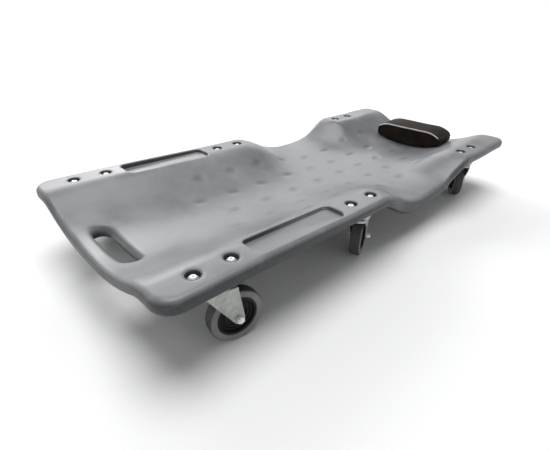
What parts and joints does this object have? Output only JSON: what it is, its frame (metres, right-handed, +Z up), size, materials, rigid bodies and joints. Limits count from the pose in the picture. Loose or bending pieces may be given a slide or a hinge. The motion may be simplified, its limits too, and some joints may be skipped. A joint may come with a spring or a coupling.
{
  "type": "mechanics creeper",
  "caption": "Low wheeled board for lying under a car: dished plastic deck with hand slot, side tool trays, swivel castors and a padded headrest.",
  "frame": {"origin": "on the floor under the middle of the deck", "axes": "+Y towards the head end, +X to the deck's right-hand side, +Z up"},
  "size_m": [0.464, 1.03, 0.1385],
  "materials": {
    "deck_plastic": "satin moulded polyethylene",
    "zinc": "bright zinc plate",
    "bearing_steel": "polished",
    "black_plastic": "satin moulded",
    "tyre_rubber": "matt grey rubber",
    "vinyl": "grained vinyl",
    "piping": "silver cord",
    "board": "plywood"
  },
  "bodies": {
    "deck_frame": {"deck": "deck_plastic", "deck_bolts": "zinc", "cup_washers": "black_plastic", "lock_nuts": "zinc", "kingpins": "zinc", "swivel_balls": "bearing_steel", "headrest_board": "board", "headrest_cushion": "vinyl", "headrest_piping": "piping", "headrest_screws": "zinc", "foot_right_castor_plate": "zinc", "foot_left_castor_plate": "zinc", "mid_right_castor_plate": "zinc", "mid_left_castor_plate": "zinc", "head_right_castor_plate": "zinc", "head_left_castor_plate": "zinc"},
    "foot_right_castor": {"foot_right_fork": "zinc", "foot_right_axle_sleeve": "bearing_steel", "foot_right_axle_bolt": "zinc", "foot_right_axle_nut": "zinc"},
    "foot_right_wheel": {"foot_right_wheel_hub": "black_plastic", "foot_right_tyre": "tyre_rubber"},
    "foot_left_castor": {"foot_left_fork": "zinc", "foot_left_axle_sleeve": "bearing_steel", "foot_left_axle_bolt": "zinc", "foot_left_axle_nut": "zinc"},
    "foot_left_wheel": {"foot_left_wheel_hub": "black_plastic", "foot_left_tyre": "tyre_rubber"},
    "mid_right_castor": {"mid_right_fork": "zinc", "mid_right_axle_sleeve": "bearing_steel", "mid_right_axle_bolt": "zinc", "mid_right_axle_nut": "zinc"},
    "mid_right_wheel": {"mid_right_wheel_hub": "black_plastic", "mid_right_tyre": "tyre_rubber"},
    "mid_left_castor": {"mid_left_fork": "zinc", "mid_left_axle_sleeve": "bearing_steel", "mid_left_axle_bolt": "zinc", "mid_left_axle_nut": "zinc"},
    "mid_left_wheel": {"mid_left_wheel_hub": "black_plastic", "mid_left_tyre": "tyre_rubber"},
    "head_right_castor": {"head_right_fork": "zinc", "head_right_axle_sleeve": "bearing_steel", "head_right_axle_bolt": "zinc", "head_right_axle_nut": "zinc"},
    "head_right_wheel": {"head_right_wheel_hub": "black_plastic", "head_right_tyre": "tyre_rubber"},
    "head_left_castor": {"head_left_fork": "zinc", "head_left_axle_sleeve": "bearing_steel", "head_left_axle_bolt": "zinc", "head_left_axle_nut": "zinc"},
    "head_left_wheel": {"head_left_wheel_hub": "black_plastic", "head_left_tyre": "tyre_rubber"}
  },
  "joints": [
    {"name": "foot_right_swivel", "type": "hinge", "parent": "deck_frame", "child": "foot_right_castor", "pos_m": [0.1984, -0.4228, 0.1], "axis": [0, 0, 1], "continuous": true},
    {"name": "foot_right_roll", "type": "hinge", "parent": "foot_right_castor", "child": "foot_right_wheel", "pos_m": [0.20344, -0.39424, 0.042], "axis": [0.9848, -0.1736, 0], "continuous": true},
    {"name": "foot_left_swivel", "type": "hinge", "parent": "deck_frame", "child": "foot_left_castor", "pos_m": [-0.1984, -0.4228, 0.1], "axis": [0, 0, 1], "continuous": true},
    {"name": "foot_left_roll", "type": "hinge", "parent": "foot_left_castor", "child": "foot_left_wheel", "pos_m": [-0.1866, -0.39631, 0.042], "axis": [0.9135, -0.4067, 0], "continuous": true},
    {"name": "mid_right_swivel", "type": "hinge", "parent": "deck_frame", "child": "mid_right_castor", "pos_m": [0.1984, -0.101, 0.1], "axis": [0, 0, 1], "continuous": true},
    {"name": "mid_right_roll", "type": "hinge", "parent": "mid_right_castor", "child": "mid_right_wheel", "pos_m": [0.18614, -0.07472, 0.042], "axis": [0.9063, 0.4226, 0], "continuous": true},
    {"name": "mid_left_swivel", "type": "hinge", "parent": "deck_frame", "child": "mid_left_castor", "pos_m": [-0.1984, -0.101, 0.1], "axis": [0, 0, 1], "continuous": true},
    {"name": "mid_left_roll", "type": "hinge", "parent": "mid_left_castor", "child": "mid_left_wheel", "pos_m": [-0.20443, -0.07263, 0.042], "axis": [0.9781, 0.2079, 0], "continuous": true},
    {"name": "head_right_swivel", "type": "hinge", "parent": "deck_frame", "child": "head_right_castor", "pos_m": [0.1984, 0.3397, 0.1], "axis": [0, 0, 1], "continuous": true},
    {"name": "head_right_roll", "type": "hinge", "parent": "head_right_castor", "child": "head_right_wheel", "pos_m": [0.18218, 0.36374, 0.042], "axis": [0.829, 0.5592, 0], "continuous": true},
    {"name": "head_left_swivel", "type": "hinge", "parent": "deck_frame", "child": "head_left_castor", "pos_m": [-0.1984, 0.3397, 0.1], "axis": [0, 0, 1], "continuous": true},
    {"name": "head_left_roll", "type": "hinge", "parent": "head_left_castor", "child": "head_left_wheel", "pos_m": [-0.20736, 0.36728, 0.042], "axis": [0.9511, 0.309, 0], "continuous": true}
  ]
}
